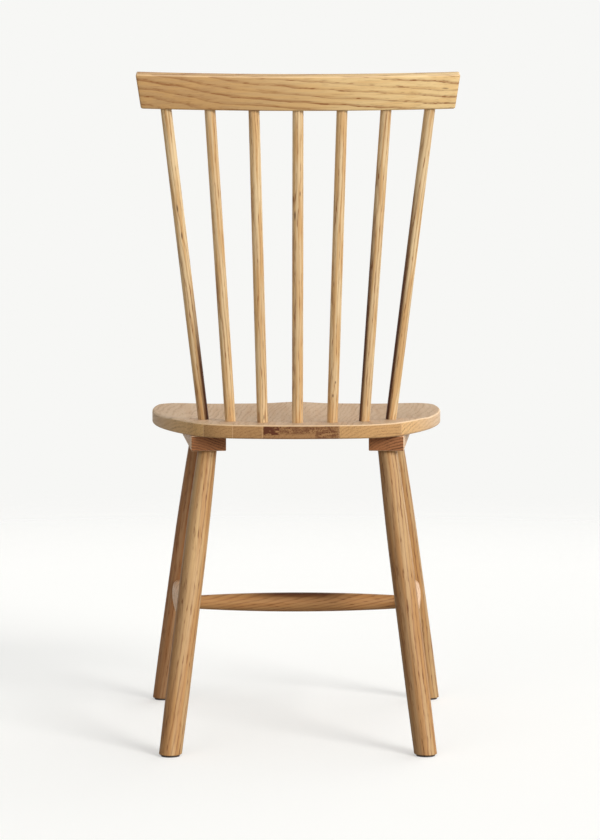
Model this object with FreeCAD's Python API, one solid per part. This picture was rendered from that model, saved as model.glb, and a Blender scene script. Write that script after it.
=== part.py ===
import FreeCAD, Part
import math
import os

from FreeCAD import Vector

# Spindle-back dining chair in oak, in millimetres.
# +Z is up, +Y is the way the sitter faces and +X is the sitter's right.
# The origin is on the floor, below the middle of the chair.

os.makedirs("parts", exist_ok=True)

UP = Vector(0, 0, 1)
SIDES = {"left": -1, "right": 1}

# Clearances between glued and fastened pieces
GLUE_GAP = 0.1
SOCKET_FLOOR_GAP = 1.0
SCREW_GAP = 0.1

# Seat blank: its height, thickness and outline of tangent arcs
SEAT_TOP = 450.0
SEAT_THICKNESS = 19.5
SEAT_DEPTH = 422.0
SEAT_REAR_Y = -169.0
SEAT_FRONT_Y = SEAT_REAR_Y + SEAT_DEPTH
SEAT_HALF_WIDTH = 212.0
SEAT_WIDEST_FROM_FRONT = 118.0
SEAT_WIDEST_Y = SEAT_FRONT_Y - SEAT_WIDEST_FROM_FRONT
SEAT_REAR_RADIUS = 430.0
SEAT_REAR_CORNER_RADIUS = 95.0
SEAT_SIDE_RADIUS = 510.0
SEAT_FRONT_CORNER_RADIUS = 45.0
SEAT_FRONT_RADIUS = 1087.0
SEAT_EDGE_CHAMFER = 2.0
SEAT_BOTTOM = SEAT_TOP - SEAT_THICKNESS

# Saddle hollow in the seat: a crisp gutter in front of the spindles, two hollows
# for the thighs that run out over the front edge, and a low ridge between them that
# stays a little below the flat rear of the seat
HOLLOW_DEPTH = 9.5
HOLLOW_SLOPE_LENGTH = 34.0
HOLLOW_FRONT_SHARE = 0.27
HOLLOW_SIDE_SHARE = 0.10
HOLLOW_SIDE_START = 112.0
HOLLOW_SIDE_RUN = 95.0
HOLLOW_RISE_START_Y = -5.0
RIDGE_HALF_WIDTH = 33.0
RIDGE_HEIGHT_SHARE = 0.9
RIDGE_START_Y = -70.0
RIDGE_RUN = 270.0
GUTTER_AHEAD_OF_SPINDLES = 21.0
GUTTER_STRAIGHT_HALF = 55.0
GUTTER_SIDE_SLOPE = 0.2
GUTTER_BEND = 15.0
HOLLOW_COLUMN_COUNT = 19
HOLLOW_ROW_COUNT = 23
HOLLOW_GRID_MARGIN = 12.0
HOLLOW_CUTTER_HEIGHT = 30.0
HOLLOW_CUT_TOLERANCE = 0.01

# Spindles: a row on an arc in the seat, spreading to even places under the crest rail
SPINDLE_COUNT = 7
SPINDLE_ARC_RADIUS = 183.0
SPINDLE_ARC_CENTRE_FROM_REAR = 227.0
SPINDLE_ARC_CENTRE_Y = SEAT_REAR_Y + SPINDLE_ARC_CENTRE_FROM_REAR
SPINDLE_ARC_STEP = 15.45
SPINDLE_TOP_PITCH = 59.5
SPINDLE_RADIUS = 7.6
SPINDLE_SEAT_DEPTH = 14.0
SPINDLE_CREST_DEPTH = 18.0

# Crest rail: a band bent to an arc and leaned back, with ends that slant outwards
CREST_UNDERSIDE = 883.0
CREST_BEHIND_SEAT = 61.6
CREST_Y = SEAT_REAR_Y - CREST_BEHIND_SEAT
CREST_RECLINE = 14.5
CREST_ARC_RADIUS = 1700.0
CREST_HEIGHT = 47.0
CREST_THICKNESS = 21.0
CREST_TOP_HALF = 218.6
CREST_BOTTOM_HALF = 212.0
CREST_END_BULGE = 0.8
CREST_EDGE_CHAMFER = 1.5

# Battens: two cleats across the grain under the seat, which hold the legs
BATTEN_WIDTH = 49.0
BATTEN_THICKNESS = 21.0
BATTEN_FROM_SEAT_REAR = 51.0
BATTEN_FROM_SEAT_FRONT = 87.0
BATTEN_REAR_FROM_SIDE = 88.0
BATTEN_FRONT_FROM_SIDE = 66.5
BATTEN_REAR_Y = SEAT_REAR_Y + BATTEN_FROM_SEAT_REAR
BATTEN_FRONT_Y = SEAT_FRONT_Y - BATTEN_FROM_SEAT_FRONT
BATTEN_REAR_X = SEAT_HALF_WIDTH - BATTEN_REAR_FROM_SIDE
BATTEN_FRONT_X = SEAT_HALF_WIDTH - BATTEN_FRONT_FROM_SIDE
BATTEN_EDGE_CHAMFER = 1.2
BATTEN_BOTTOM = SEAT_BOTTOM - BATTEN_THICKNESS

# Countersunk wood screws up through each batten into the seat
SCREW_FROM_BATTEN_END = 88.0
SCREW_PLACES_Y = (BATTEN_REAR_Y + SCREW_FROM_BATTEN_END, BATTEN_FRONT_Y - SCREW_FROM_BATTEN_END)
SCREW_SHANK_RADIUS = 2.0
SCREW_HEAD_RADIUS = 4.0
SCREW_HEAD_HEIGHT = 2.4
SCREW_LENGTH = 28.0
SCREW_RECESS = 1.0
SCREW_SLOT_WIDTH = 1.0
SCREW_SLOT_DEPTH = 1.1

# Legs: turned, splayed both ways, with a round tenon through the batten into the seat
LEG_RADIUS = 16.2
LEG_SHOULDER_RADIUS = 15.0
LEG_TENON_RADIUS = 13.4
LEG_FULL_TOP = 262.0
LEG_SHOULDER_HEIGHT = 346.0
LEG_SEAT_DEPTH = 8.0
LEG_TENON_RELIEF = 6.0
LEG_EDGE_CHAMFER = 1.5
LEG_REAR_TOP_OUT = 2.4
LEG_REAR_FROM_BATTEN_END = 22.0
LEG_REAR_SPLAY = 49.1
LEG_REAR_RAKE = 135.0
LEG_FRONT_TOP_IN = 2.5
LEG_FRONT_FROM_BATTEN_END = 25.0
LEG_FRONT_SPLAY = 58.5
LEG_FRONT_RAKE = 84.0
LEG_REAR_TOP = (BATTEN_REAR_X + LEG_REAR_TOP_OUT, BATTEN_REAR_Y + LEG_REAR_FROM_BATTEN_END)
LEG_FRONT_TOP = (BATTEN_FRONT_X - LEG_FRONT_TOP_IN, BATTEN_FRONT_Y - LEG_FRONT_FROM_BATTEN_END)
LEG_PLACES = {
    "rear": {
        "top": LEG_REAR_TOP,
        "foot": (LEG_REAR_TOP[0] + LEG_REAR_SPLAY, LEG_REAR_TOP[1] - LEG_REAR_RAKE),
    },
    "front": {
        "top": LEG_FRONT_TOP,
        "foot": (LEG_FRONT_TOP[0] + LEG_FRONT_SPLAY, LEG_FRONT_TOP[1] + LEG_FRONT_RAKE),
    },
}

# Foot glides: a thin round pad glued under each leg
GLIDE_RADIUS = 12.8
GLIDE_HEIGHT = 2.5

# Stretchers: turned rails that make an H between the legs
STRETCHER_HEIGHT = 180.0
STRETCHER_MIDDLE_RADIUS = 13.75
STRETCHER_END_RADIUS = 9.3
STRETCHER_STRAIGHT_SHARE = 0.2
STRETCHER_TENON_RADIUS = 8.5
STRETCHER_CLEAR_OF_HOST = 1.0
STRETCHER_DEPTH_IN_LEG = 21.0
STRETCHER_DEPTH_IN_STRETCHER = 16.0
CROSS_STRETCHER_Y = (SEAT_REAR_Y + SEAT_FRONT_Y) / 2.0 - 42.0

# How far cutting tools run past the face they start from
TOOL_OVERSHOOT = 30.0


def save(shape, node):
    shape.exportStep("parts/" + node + ".step")
    print(node, round(shape.Volume / 1000.0, 1), "cm3")


def placed(shape, base, direction):
    """The shape, made along +Z from the origin, moved to start at base along direction."""
    result = shape.copy()
    result.Placement = FreeCAD.Placement(base, FreeCAD.Rotation(UP, direction))
    return result


def turned(edges):
    """A solid of revolution from outline edges in the XZ plane that start and end on the Z axis."""
    face = Part.Face(Part.Wire(edges))
    return face.revolve(Vector(0, 0, 0), UP, 360.0)


def arc(first, middle, last):
    return Part.Arc(first, middle, last).toShape()


def line(first, last):
    return Part.LineSegment(first, last).toShape()


def rod(radius, base, direction, length):
    return Part.makeCylinder(radius, length, base, direction)


def smooth_step(value):
    share = min(max(value, 0.0), 1.0)
    return share * share * (3.0 - 2.0 * share)


# Where the spindles start and end

def spindle_offsets():
    middle = (SPINDLE_COUNT - 1) / 2.0
    return [number - middle for number in range(SPINDLE_COUNT)]


def spindle_base(offset):
    angle = math.radians(SPINDLE_ARC_STEP * offset)
    x = SPINDLE_ARC_RADIUS * math.sin(angle)
    y = SPINDLE_ARC_CENTRE_Y - SPINDLE_ARC_RADIUS * math.cos(angle)
    return Vector(x, y, SEAT_TOP)


def crest_frame():
    """The directions along the crest rail's height and through its thickness to the rear."""
    lean = math.radians(CREST_RECLINE)
    height_way = Vector(0, -math.sin(lean), math.cos(lean))
    rear_way = Vector(0, -math.cos(lean), -math.sin(lean))
    return height_way, rear_way


def crest_point(across, up):
    """A point on the crest rail's middle surface."""
    height_way, rear_way = crest_frame()
    sag = CREST_ARC_RADIUS - math.sqrt(CREST_ARC_RADIUS ** 2 - across ** 2)
    start = Vector(across, CREST_Y, CREST_UNDERSIDE)
    return start + height_way * up - rear_way * sag


def spindle_line(offset):
    """A spindle's place on the seat, its direction and its visible length."""
    base = spindle_base(offset)
    top = crest_point(SPINDLE_TOP_PITCH * offset, 0.0)
    direction = top - base
    length = direction.Length
    direction.normalize()
    return base, direction, length


# Where the legs and the stretchers lie

def leg_line(row, side):
    """A leg's axis: its foot on the floor and its direction."""
    place = LEG_PLACES[row]
    foot = Vector(side * place["foot"][0], place["foot"][1], 0)
    top = Vector(side * place["top"][0], place["top"][1], BATTEN_BOTTOM)
    direction = top - foot
    direction.normalize()
    return foot, direction


def leg_point(row, side, height):
    foot, direction = leg_line(row, side)
    return foot + direction * (height / direction.z)


def side_stretcher_line(side):
    """The points on the rear and front legs' axes that a side stretcher joins."""
    return leg_point("rear", side, STRETCHER_HEIGHT), leg_point("front", side, STRETCHER_HEIGHT)


def cross_stretcher_line():
    """The points on the side stretchers' axes that the cross stretcher joins."""
    ends = []
    for side in SIDES.values():
        rear, front = side_stretcher_line(side)
        share = (CROSS_STRETCHER_Y - rear.y) / (front.y - rear.y)
        ends.append(rear + (front - rear) * share)
    return ends


# Seat

def tangent_circle_centre(first, first_radius, second, second_radius, radius):
    """Centre of the circle of this radius inside and touching two larger ones, on the right."""
    reach_first = first_radius - radius
    reach_second = second_radius - radius
    between = second - first
    apart = between.Length
    along = (reach_first ** 2 - reach_second ** 2 + apart ** 2) / (2.0 * apart)
    aside = math.sqrt(reach_first ** 2 - along ** 2)
    unit = between * (1.0 / apart)
    across = Vector(-unit.y, unit.x, 0)
    points = [first + unit * along + across * aside, first + unit * along - across * aside]
    return max(points, key=lambda point: point.x)


def touch_point(large, large_radius, small):
    """The point where a circle touches a smaller one inside it."""
    way = small - large
    way.normalize()
    return large + way * large_radius


def middle_on_circle(centre, radius, first, last):
    way = (first + last) * 0.5 - centre
    way.normalize()
    return centre + way * radius


def seat_outline():
    """The seat's outline at z = 0: rear arc, rear corner, side, front corner and front arc."""
    rear = Vector(0, SEAT_REAR_Y + SEAT_REAR_RADIUS, 0)
    side = Vector(SEAT_HALF_WIDTH - SEAT_SIDE_RADIUS, SEAT_WIDEST_Y, 0)
    front = Vector(0, SEAT_FRONT_Y - SEAT_FRONT_RADIUS, 0)
    rear_corner = tangent_circle_centre(
        rear, SEAT_REAR_RADIUS, side, SEAT_SIDE_RADIUS, SEAT_REAR_CORNER_RADIUS
    )
    front_corner = tangent_circle_centre(
        front, SEAT_FRONT_RADIUS, side, SEAT_SIDE_RADIUS, SEAT_FRONT_CORNER_RADIUS
    )
    stations = [
        touch_point(rear, SEAT_REAR_RADIUS, rear_corner),
        touch_point(side, SEAT_SIDE_RADIUS, rear_corner),
        touch_point(side, SEAT_SIDE_RADIUS, front_corner),
        touch_point(front, SEAT_FRONT_RADIUS, front_corner),
    ]
    circles = [
        (rear_corner, SEAT_REAR_CORNER_RADIUS),
        (side, SEAT_SIDE_RADIUS),
        (front_corner, SEAT_FRONT_CORNER_RADIUS),
    ]
    mirrored = [Vector(-point.x, point.y, 0) for point in stations]
    right, left = [], []
    for number, (centre, radius) in enumerate(circles):
        first, last = stations[number], stations[number + 1]
        middle = middle_on_circle(centre, radius, first, last)
        right.append(arc(first, middle, last))
        mirror_middle = Vector(-middle.x, middle.y, 0)
        left.insert(0, arc(mirrored[number + 1], mirror_middle, mirrored[number]))
    front_arc = arc(stations[-1], Vector(0, SEAT_FRONT_Y, 0), mirrored[-1])
    rear_arc = arc(mirrored[0], Vector(0, SEAT_REAR_Y, 0), stations[0])
    return Part.Wire(right + [front_arc] + left + [rear_arc])


def gutter_y(x):
    """The crisp rear edge of the hollow, which climbs forward round the outer spindles."""
    offsets = spindle_offsets()
    middle, outer = spindle_base(0), spindle_base(offsets[-1])
    climb_run = outer.x + GUTTER_AHEAD_OF_SPINDLES - GUTTER_STRAIGHT_HALF
    climb = (outer.y - middle.y) * smooth_step((abs(x) - GUTTER_STRAIGHT_HALF) / climb_run)
    beyond = abs(x) - outer.x - GUTTER_BEND
    side = GUTTER_SIDE_SLOPE * 0.5 * (beyond + math.hypot(beyond, GUTTER_BEND))
    return middle.y + GUTTER_AHEAD_OF_SPINDLES + climb + side


def hollow_z(x, y):
    """Height of the hollow's surface. Behind the gutter it lies above the seat."""
    ahead = math.tanh((y - gutter_y(x)) / HOLLOW_SLOPE_LENGTH)
    rise = smooth_step((y - HOLLOW_RISE_START_Y) / (SEAT_FRONT_Y - HOLLOW_RISE_START_Y))
    lengthways = 1.0 - (1.0 - HOLLOW_FRONT_SHARE) * rise
    side = smooth_step((abs(x) - HOLLOW_SIDE_START) / HOLLOW_SIDE_RUN)
    sideways = 1.0 - (1.0 - HOLLOW_SIDE_SHARE) * side
    ridge = RIDGE_HEIGHT_SHARE * smooth_step((y - RIDGE_START_Y) / RIDGE_RUN)
    ridge_share = 1.0 - ridge * math.exp(-((x / RIDGE_HALF_WIDTH) ** 2))
    return SEAT_TOP - HOLLOW_DEPTH * ahead * lengthways * sideways * ridge_share


def hollow_cutter():
    """What the seat loses above the hollow's surface."""
    half = SEAT_HALF_WIDTH + HOLLOW_GRID_MARGIN
    low = SEAT_REAR_Y - HOLLOW_GRID_MARGIN
    high = SEAT_FRONT_Y + HOLLOW_GRID_MARGIN
    rows = []
    for column in range(HOLLOW_COLUMN_COUNT):
        x = -half + 2.0 * half * column / (HOLLOW_COLUMN_COUNT - 1)
        ys = [low + (high - low) * row / (HOLLOW_ROW_COUNT - 1) for row in range(HOLLOW_ROW_COUNT)]
        rows.append([Vector(x, y, hollow_z(x, y)) for y in ys])
    surface = Part.BSplineSurface()
    surface.interpolate(rows)
    return surface.toShape().extrude(Vector(0, 0, HOLLOW_CUTTER_HEIGHT))


def make_seat():
    outline = seat_outline()
    outline.translate(Vector(0, 0, SEAT_BOTTOM))
    blank = Part.Face(outline).extrude(Vector(0, 0, SEAT_THICKNESS))
    rims = [edge for edge in blank.Edges if edge.BoundBox.ZLength < SEAT_EDGE_CHAMFER]
    seat = blank.makeChamfer(SEAT_EDGE_CHAMFER, rims)
    seat = seat.cut([hollow_cutter()], HOLLOW_CUT_TOLERANCE)
    tools = []
    for offset in spindle_offsets():
        base, direction, length = spindle_line(offset)
        tools.append(spindle_socket(base, direction * -1.0, SPINDLE_SEAT_DEPTH))
    for row in LEG_PLACES:
        for side in SIDES.values():
            tools.append(leg_hole(row, side))
    for side in SIDES.values():
        tools.extend(screw_holes(side))
    return seat.cut(tools)


# Spindles

def make_spindle(offset):
    base, direction, length = spindle_line(offset)
    whole = SPINDLE_SEAT_DEPTH + length + SPINDLE_CREST_DEPTH
    return rod(SPINDLE_RADIUS, base - direction * SPINDLE_SEAT_DEPTH, direction, whole)


def spindle_socket(mouth, inward, depth):
    """A blind hole from outside the mouth to just past a spindle's end."""
    start = mouth - inward * TOOL_OVERSHOOT
    length = TOOL_OVERSHOOT + depth + SOCKET_FLOOR_GAP
    return rod(SPINDLE_RADIUS + GLUE_GAP, start, inward, length)


# Crest rail

def make_crest():
    height_way, rear_way = crest_frame()
    centre = Vector(0, CREST_Y, CREST_UNDERSIDE) - rear_way * CREST_ARC_RADIUS
    outer = Part.makeCylinder(
        CREST_ARC_RADIUS + CREST_THICKNESS / 2.0, CREST_HEIGHT, centre, height_way
    )
    inner = Part.makeCylinder(
        CREST_ARC_RADIUS - CREST_THICKNESS / 2.0, CREST_HEIGHT, centre, height_way
    )
    blank = crest_face_outline().extrude(rear_way * (2.0 * TOOL_OVERSHOOT + CREST_THICKNESS))
    crest = outer.cut(inner).common(blank).Solids[0]
    crest = crest.makeChamfer(CREST_EDGE_CHAMFER, crest.Edges)
    tools = []
    for offset in spindle_offsets():
        base, direction, length = spindle_line(offset)
        mouth = base + direction * length
        tools.append(spindle_socket(mouth, direction, SPINDLE_CREST_DEPTH))
    return crest.cut(tools)


def crest_face_outline():
    """The crest rail's outline seen square on, in front of the rail, with slightly round ends."""
    height_way, rear_way = crest_frame()
    start = Vector(0, CREST_Y, CREST_UNDERSIDE) - rear_way * (TOOL_OVERSHOOT + CREST_THICKNESS / 2.0)

    def point(across, up):
        return start + Vector(across, 0, 0) + height_way * up

    middle_half = (CREST_TOP_HALF + CREST_BOTTOM_HALF) / 2.0 + CREST_END_BULGE
    middle_up = CREST_HEIGHT / 2.0
    bottom_left = point(-CREST_BOTTOM_HALF, 0)
    bottom_right = point(CREST_BOTTOM_HALF, 0)
    top_left = point(-CREST_TOP_HALF, CREST_HEIGHT)
    top_right = point(CREST_TOP_HALF, CREST_HEIGHT)
    edges = [
        line(bottom_left, bottom_right),
        arc(bottom_right, point(middle_half, middle_up), top_right),
        line(top_right, top_left),
        arc(top_left, point(-middle_half, middle_up), bottom_left),
    ]
    return Part.Face(Part.Wire(edges))


# Battens and their screws

def batten_line(side):
    rear = Vector(side * BATTEN_REAR_X, BATTEN_REAR_Y, 0)
    front = Vector(side * BATTEN_FRONT_X, BATTEN_FRONT_Y, 0)
    return rear, front


def make_batten(side):
    rear, front = batten_line(side)
    way = front - rear
    block = Part.makeBox(BATTEN_WIDTH, way.Length, BATTEN_THICKNESS)
    block.translate(Vector(-BATTEN_WIDTH / 2.0, 0, 0))
    sharp = [edge for edge in block.Edges if edge.BoundBox.ZMin >= BATTEN_THICKNESS / 2.0]
    eased = [edge for edge in block.Edges if not any(edge.isSame(other) for other in sharp)]
    block = block.makeChamfer(BATTEN_EDGE_CHAMFER, eased)
    turn = FreeCAD.Rotation(Vector(0, 1, 0), way)
    block.Placement = FreeCAD.Placement(rear + UP * BATTEN_BOTTOM, turn)
    tools = [leg_hole(row, side) for row in LEG_PLACES] + screw_holes(side)
    return block.cut(tools)


def screw_base(side, y):
    rear, front = batten_line(side)
    share = (y - rear.y) / (front.y - rear.y)
    return rear + (front - rear) * share + UP * (BATTEN_BOTTOM + SCREW_RECESS)


def screw_body(gap):
    """A countersunk screw along +Z from its head's face, or its hole when gap is set."""
    shank = SCREW_SHANK_RADIUS + gap
    head = SCREW_HEAD_RADIUS + gap
    length = SCREW_LENGTH + gap
    corners = [
        Vector(0, 0, 0),
        Vector(head, 0, 0),
        Vector(shank, 0, SCREW_HEAD_HEIGHT),
        Vector(shank, 0, length),
        Vector(0, 0, length),
    ]
    return turned(Part.makePolygon(corners + corners[:1]).Edges)


def screw_holes(side):
    holes = []
    for y in SCREW_PLACES_Y:
        base = screw_base(side, y)
        mouth = rod(SCREW_HEAD_RADIUS + SCREW_GAP, base, UP * -1.0, TOOL_OVERSHOOT)
        holes.append(placed(screw_body(SCREW_GAP), base, UP).fuse(mouth))
    return holes


def make_screws(side):
    slot = Part.makeBox(SCREW_HEAD_RADIUS * 3.0, SCREW_SLOT_WIDTH, SCREW_SLOT_DEPTH)
    slot.translate(Vector(-SCREW_HEAD_RADIUS * 1.5, -SCREW_SLOT_WIDTH / 2.0, 0))
    screw = screw_body(0.0).cut(slot)
    return Part.makeCompound([placed(screw, screw_base(side, y), UP) for y in SCREW_PLACES_Y])


# Legs and foot glides

def leg_top(direction):
    """How far up its axis a leg's tenon ends."""
    return (SEAT_BOTTOM + LEG_SEAT_DEPTH) / direction.z


def leg_hole(row, side):
    foot, direction = leg_line(row, side)
    start = foot + direction * ((BATTEN_BOTTOM - TOOL_OVERSHOOT) / direction.z)
    reach = leg_top(direction) - (BATTEN_BOTTOM - TOOL_OVERSHOOT) / direction.z
    return rod(LEG_TENON_RADIUS + GLUE_GAP, start, direction, reach + SOCKET_FLOOR_GAP)


def make_leg(row, side):
    foot, direction = leg_line(row, side)
    slope = 1.0 / direction.z
    bottom = -LEG_RADIUS
    full_top = LEG_FULL_TOP * slope
    shoulder = LEG_SHOULDER_HEIGHT * slope
    tenon = (BATTEN_BOTTOM - LEG_TENON_RELIEF) * slope
    top = leg_top(direction)
    edges = [
        line(Vector(0, 0, bottom), Vector(LEG_RADIUS, 0, bottom)),
        line(Vector(LEG_RADIUS, 0, bottom), Vector(LEG_RADIUS, 0, full_top)),
        arc(Vector(LEG_RADIUS, 0, full_top), Vector(LEG_SHOULDER_RADIUS, 0, shoulder),
            Vector(LEG_TENON_RADIUS, 0, tenon)),
        line(Vector(LEG_TENON_RADIUS, 0, tenon), Vector(LEG_TENON_RADIUS, 0, top)),
        line(Vector(LEG_TENON_RADIUS, 0, top), Vector(0, 0, top)),
        line(Vector(0, 0, top), Vector(0, 0, bottom)),
    ]
    leg = placed(turned(edges), foot, direction)
    under = Part.makeBox(4 * LEG_RADIUS, 4 * LEG_RADIUS, TOOL_OVERSHOOT + GLIDE_HEIGHT)
    under.translate(foot - Vector(2 * LEG_RADIUS, 2 * LEG_RADIUS, TOOL_OVERSHOOT))
    leg = leg.cut(under)
    rim = [edge for edge in leg.Edges if edge.BoundBox.ZMax < GLIDE_HEIGHT + GLUE_GAP]
    leg = leg.makeChamfer(LEG_EDGE_CHAMFER, rim)
    return leg.cut(stretcher_hole_in_leg(row, side))


def make_glide(row, side):
    centre = leg_point(row, side, GLIDE_HEIGHT) - UP * GLIDE_HEIGHT
    return rod(GLIDE_RADIUS, centre, UP, GLIDE_HEIGHT)


# Stretchers

def swelling_side(start, end):
    """Arcs of one circle that swell to a rail's middle and back, with a short straight middle."""
    middle = (start + end) / 2.0
    rise = STRETCHER_MIDDLE_RADIUS - STRETCHER_END_RADIUS
    bow = (((end - start) / 2.0) ** 2 + rise ** 2) / (2.0 * rise)
    straight = (end - start) * STRETCHER_STRAIGHT_SHARE / 2.0
    reach = (end - start) / 2.0 - straight

    def point(from_middle):
        inset = bow - math.sqrt(bow ** 2 - from_middle ** 2)
        return Vector(STRETCHER_MIDDLE_RADIUS - inset, 0, middle + from_middle)

    up = [point(-straight - reach * quarter / 4.0) for quarter in (4, 3, 2, 1, 0)]
    down = [point(straight + reach * quarter / 4.0) for quarter in (0, 1, 2, 3, 4)]
    return [arc(*up[:3]), arc(*up[2:]), line(up[4], down[0]), arc(*down[:3]), arc(*down[2:])]


def make_stretcher(first, last, host_radius, depth):
    """A turned rail between two axes, swelling to its middle, with a tenon in each host."""
    way = last - first
    span = way.Length
    way.normalize()
    tip = host_radius - depth
    shoulder = host_radius + STRETCHER_CLEAR_OF_HOST
    tenon = STRETCHER_TENON_RADIUS
    end = STRETCHER_END_RADIUS
    lower = [
        line(Vector(0, 0, tip), Vector(tenon, 0, tip)),
        line(Vector(tenon, 0, tip), Vector(tenon, 0, shoulder)),
        line(Vector(tenon, 0, shoulder), Vector(end, 0, shoulder)),
    ]
    upper = [
        line(Vector(end, 0, span - shoulder), Vector(tenon, 0, span - shoulder)),
        line(Vector(tenon, 0, span - shoulder), Vector(tenon, 0, span - tip)),
        line(Vector(tenon, 0, span - tip), Vector(0, 0, span - tip)),
    ]
    axis = [line(Vector(0, 0, span - tip), Vector(0, 0, tip))]
    edges = lower + swelling_side(shoulder, span - shoulder) + upper + axis
    return placed(turned(edges), first, way)


def stretcher_hole(axis_point, outward, host_radius, depth):
    """A blind hole from outside a host's surface to just past a tenon's end."""
    start = axis_point + outward * (host_radius + TOOL_OVERSHOOT)
    length = TOOL_OVERSHOOT + depth + SOCKET_FLOOR_GAP
    return rod(STRETCHER_TENON_RADIUS + GLUE_GAP, start, outward * -1.0, length)


def stretcher_hole_in_leg(row, side):
    rear, front = side_stretcher_line(side)
    forward = front - rear
    forward.normalize()
    if row == "rear":
        return stretcher_hole(rear, forward, LEG_RADIUS, STRETCHER_DEPTH_IN_LEG)
    return stretcher_hole(front, forward * -1.0, LEG_RADIUS, STRETCHER_DEPTH_IN_LEG)


def make_side_stretcher(side):
    rear, front = side_stretcher_line(side)
    rail = make_stretcher(rear, front, LEG_RADIUS, STRETCHER_DEPTH_IN_LEG)
    left, right = cross_stretcher_line()
    inward = right - left
    inward.normalize()
    centre = left
    if side > 0:
        centre, inward = right, inward * -1.0
    hole = stretcher_hole(centre, inward, STRETCHER_MIDDLE_RADIUS, STRETCHER_DEPTH_IN_STRETCHER)
    return rail.cut(hole)


def make_cross_stretcher():
    left, right = cross_stretcher_line()
    return make_stretcher(left, right, STRETCHER_MIDDLE_RADIUS, STRETCHER_DEPTH_IN_STRETCHER)


# Every piece, each in its own file

save(make_seat(), "seat")
save(make_crest(), "crest_rail")
for number, offset in enumerate(spindle_offsets(), start=1):
    save(make_spindle(offset), "spindle_" + str(number))
for name, side in SIDES.items():
    save(make_batten(side), "batten_" + name)
    save(make_screws(side), "batten_screws_" + name)
    save(make_side_stretcher(side), "side_stretcher_" + name)
    for row in LEG_PLACES:
        save(make_leg(row, side), "leg_" + row + "_" + name)
        save(make_glide(row, side), "foot_glide_" + row + "_" + name)
save(make_cross_stretcher(), "cross_stretcher")
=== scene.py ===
# %% [markdown]
# # A spindle-back chair in oak
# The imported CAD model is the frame: it fixes every size and place. Its solids come in
# as flat facets, so the wooden pieces are modelled again here as smooth meshes in the
# same places, and the hidden screws and the glides keep their CAD meshes.

import math

import bmesh
import bpy
from mathutils import Matrix, Vector


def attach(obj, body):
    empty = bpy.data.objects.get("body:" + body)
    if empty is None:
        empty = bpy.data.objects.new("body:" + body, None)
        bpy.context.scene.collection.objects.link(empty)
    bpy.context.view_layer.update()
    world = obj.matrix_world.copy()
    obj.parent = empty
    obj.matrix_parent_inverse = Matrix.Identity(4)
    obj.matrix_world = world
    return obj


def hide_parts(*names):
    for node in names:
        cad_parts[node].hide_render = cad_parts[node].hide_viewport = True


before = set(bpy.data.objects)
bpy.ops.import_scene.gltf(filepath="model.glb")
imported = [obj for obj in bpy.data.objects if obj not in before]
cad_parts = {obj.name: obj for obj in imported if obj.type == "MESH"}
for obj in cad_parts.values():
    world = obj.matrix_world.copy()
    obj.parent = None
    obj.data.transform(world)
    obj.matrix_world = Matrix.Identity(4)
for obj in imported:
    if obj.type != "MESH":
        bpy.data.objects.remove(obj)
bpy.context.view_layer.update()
print("nodes in the frame:", len(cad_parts))

# %% [markdown]
# ## Sizes
# A furniture maker works in millimetres, so every size below is in millimetres and is
# multiplied by MM only when a mesh is made. They are the driving sizes of the CAD model.
# X is the sitter's right, Y the way the sitter faces and Z is up.

# %% Seat and its hollow
MM = 0.001

SEAT_TOP = 450.0
SEAT_BOTTOM = 430.5
SEAT_REAR_Y = -169.0
SEAT_FRONT_Y = 253.0
SEAT_HALF_WIDTH = 212.0
SEAT_WIDEST_Y = 135.0
SEAT_REAR_RADIUS = 430.0
SEAT_REAR_CORNER_RADIUS = 95.0
SEAT_SIDE_RADIUS = 510.0
SEAT_FRONT_CORNER_RADIUS = 45.0
SEAT_FRONT_RADIUS = 1087.0
SEAT_EDGE_ROUND = 2.8

HOLLOW_DEPTH = 9.5
HOLLOW_SLOPE_LENGTH = 34.0
HOLLOW_FRONT_SHARE = 0.27
HOLLOW_SIDE_SHARE = 0.10
HOLLOW_SIDE_START = 112.0
HOLLOW_SIDE_RUN = 95.0
HOLLOW_RISE_START_Y = -5.0
RIDGE_HALF_WIDTH = 33.0
RIDGE_HEIGHT_SHARE = 0.9
RIDGE_START_Y = -70.0
RIDGE_RUN = 270.0
GUTTER_AHEAD_OF_SPINDLES = 21.0
GUTTER_STRAIGHT_HALF = 55.0
GUTTER_SIDE_SLOPE = 0.2
GUTTER_BEND = 15.0

# %% Spindles and crest rail
SPINDLE_COUNT = 7
SPINDLE_ARC_RADIUS = 183.0
SPINDLE_ARC_CENTRE_Y = 58.0
SPINDLE_ARC_STEP = 15.45
SPINDLE_TOP_PITCH = 59.5
SPINDLE_RADIUS = 7.6
SPINDLE_SWELL = 0.15
SPINDLE_SINK = 3.0

CREST_UNDERSIDE = 883.0
CREST_Y = -230.6
CREST_RECLINE = 14.5
CREST_ARC_RADIUS = 1700.0
CREST_HEIGHT = 47.0
CREST_THICKNESS = 21.0
CREST_TOP_HALF = 218.6
CREST_BOTTOM_HALF = 212.0
CREST_END_BULGE = 0.8
CREST_EDGE_ROUND = 2.5

# %% Battens, legs and stretchers
BATTEN_WIDTH = 49.0
BATTEN_BOTTOM = 409.5
BATTEN_REAR = Vector((124.0, -118.0, 0.0))
BATTEN_FRONT = Vector((145.5, 166.0, 0.0))
BATTEN_EDGE_ROUND = 1.4

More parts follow.
